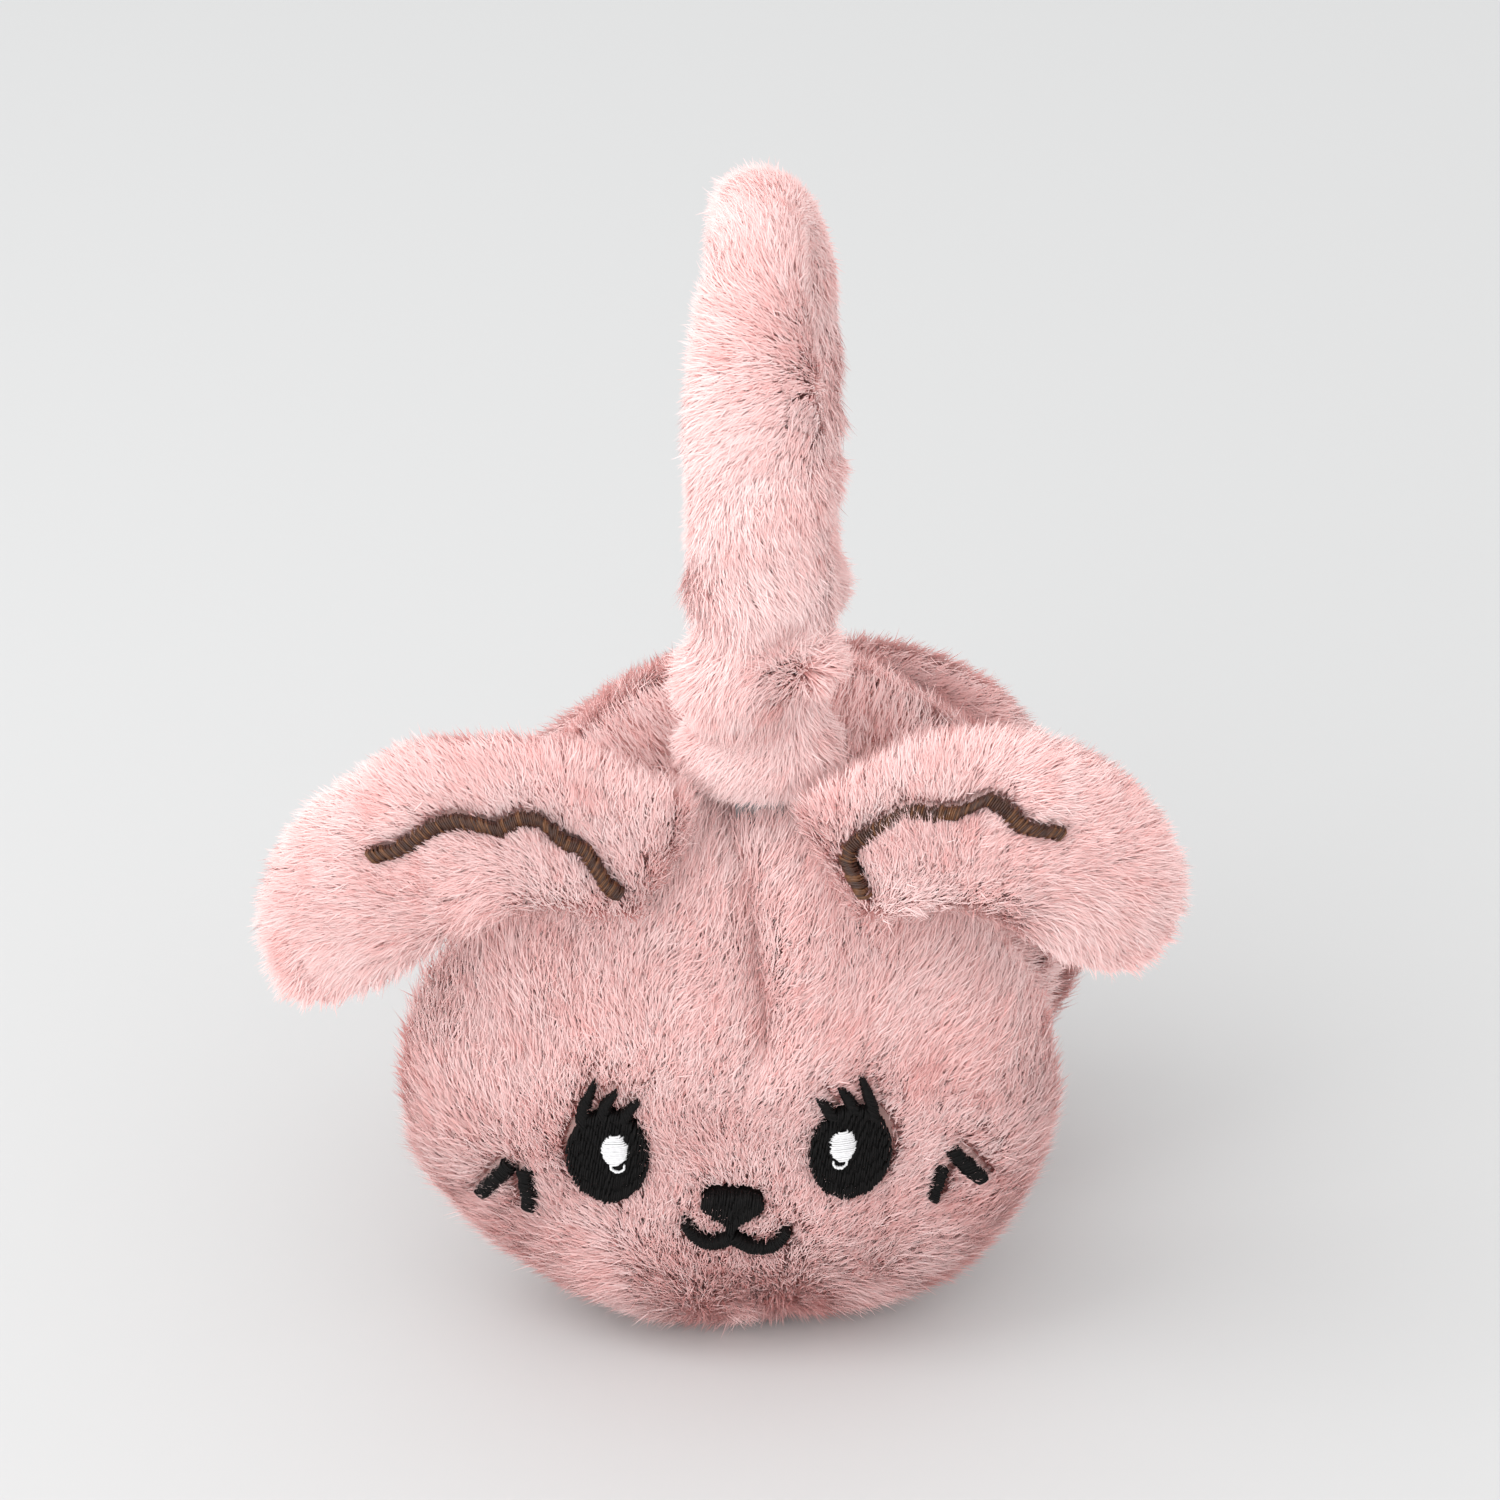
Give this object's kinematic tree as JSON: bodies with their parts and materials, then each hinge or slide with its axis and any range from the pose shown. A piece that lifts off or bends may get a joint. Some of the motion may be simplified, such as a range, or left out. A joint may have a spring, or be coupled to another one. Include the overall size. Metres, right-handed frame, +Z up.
{
  "type": "plush earmuffs",
  "caption": "Plush animal-head earmuffs: padded cups with floppy ears and stitched faces on a fur-covered, adjustable spring band.",
  "frame": {"origin": "on the ground, midway between the two cups and midway between the front ear tips", "axes": "+Z up through the band; -Y the way the front cup's face looks; +X to that viewer's right"},
  "size_m": [0.1748, 0.1252, 0.2235],
  "materials": {
    "pink_fur": "long dusty-pink faux fur, soft sheen",
    "pink_fleece": "short pale pink fleece",
    "black_thread": "satin-stitched black thread",
    "white_thread": "satin-stitched white thread",
    "brown_thread": "satin-stitched brown thread",
    "grey_plastic": "moulded, fine matt",
    "spring_steel": "bright drawn steel",
    "pad_foam": "open-cell foam",
    "polyester_filling": "loose white fibre"
  },
  "bodies": {
    "crown": {"crown_casing": "grey_plastic", "crown_fur_sleeve": "pink_fur", "crown_spring": "spring_steel"},
    "front_side": {"front_side_channel": "grey_plastic", "front_leg_fur_sleeve": "pink_fur"},
    "front_arm": {"front_slider_arm": "grey_plastic", "front_stop_rivet": "spring_steel", "front_pivot_pin": "spring_steel", "front_sleeve_hem": "pink_fur"},
    "front_cup": {"front_base_plate": "grey_plastic", "front_cheek_inner_left": "black_thread", "front_cheek_inner_right": "black_thread", "front_cheek_outer_left": "black_thread", "front_cheek_outer_right": "black_thread", "front_ear_left": "pink_fur", "front_ear_line_left": "brown_thread", "front_ear_line_right": "brown_thread", "front_ear_pad_cover": "pink_fleece", "front_ear_pad_foam": "pad_foam", "front_ear_right": "pink_fur", "front_eye_glint_left": "white_thread", "front_eye_glint_right": "white_thread", "front_eye_left": "black_thread", "front_eye_right": "black_thread", "front_face_panel": "pink_fur", "front_mouth": "black_thread", "front_nose": "black_thread", "front_rear_panel": "pink_fur", "front_stuffing": "polyester_filling"},
    "back_side": {"back_side_channel": "grey_plastic", "back_leg_fur_sleeve": "pink_fur"},
    "back_arm": {"back_slider_arm": "grey_plastic", "back_stop_rivet": "spring_steel", "back_pivot_pin": "spring_steel", "back_sleeve_hem": "pink_fur"},
    "back_cup": {"back_base_plate": "grey_plastic", "back_cheek_inner_left": "black_thread", "back_cheek_inner_right": "black_thread", "back_cheek_outer_left": "black_thread", "back_cheek_outer_right": "black_thread", "back_ear_left": "pink_fur", "back_ear_line_left": "brown_thread", "back_ear_line_right": "brown_thread", "back_ear_pad_cover": "pink_fleece", "back_ear_pad_foam": "pad_foam", "back_ear_right": "pink_fur", "back_eye_glint_left": "white_thread", "back_eye_glint_right": "white_thread", "back_eye_left": "black_thread", "back_eye_right": "black_thread", "back_face_panel": "pink_fur", "back_mouth": "black_thread", "back_nose": "black_thread", "back_rear_panel": "pink_fur", "back_stuffing": "polyester_filling"}
  },
  "joints": [
    {"name": "front_spread", "type": "hinge", "parent": "crown", "child": "front_side", "pos_m": [0.0063, -0.03982, 0.17274], "axis": [-1, 0, 0], "range_deg": [0, 30], "stiffness_Nm_per_rad": 0.35, "springref_deg": -8.59},
    {"name": "front_extend", "type": "slide", "parent": "front_side", "child": "front_arm", "axis": [0, 0.0939, -0.9956], "range_m": [0, 0.022]},
    {"name": "front_tilt", "type": "hinge", "parent": "front_arm", "child": "front_cup", "pos_m": [0.0063, -0.029, 0.058], "axis": [1, 0, 0], "range_deg": [-1.5, 12]},
    {"name": "back_spread", "type": "hinge", "parent": "crown", "child": "back_side", "pos_m": [0.0063, 0.03982, 0.17274], "axis": [1, 0, 0], "range_deg": [0, 30], "stiffness_Nm_per_rad": 0.35, "springref_deg": -8.59},
    {"name": "back_extend", "type": "slide", "parent": "back_side", "child": "back_arm", "axis": [0, -0.0939, -0.9956], "range_m": [0, 0.022]},
    {"name": "back_tilt", "type": "hinge", "parent": "back_arm", "child": "back_cup", "pos_m": [0.0063, 0.029, 0.058], "axis": [-1, 0, 0], "range_deg": [-1.5, 12]}
  ]
}
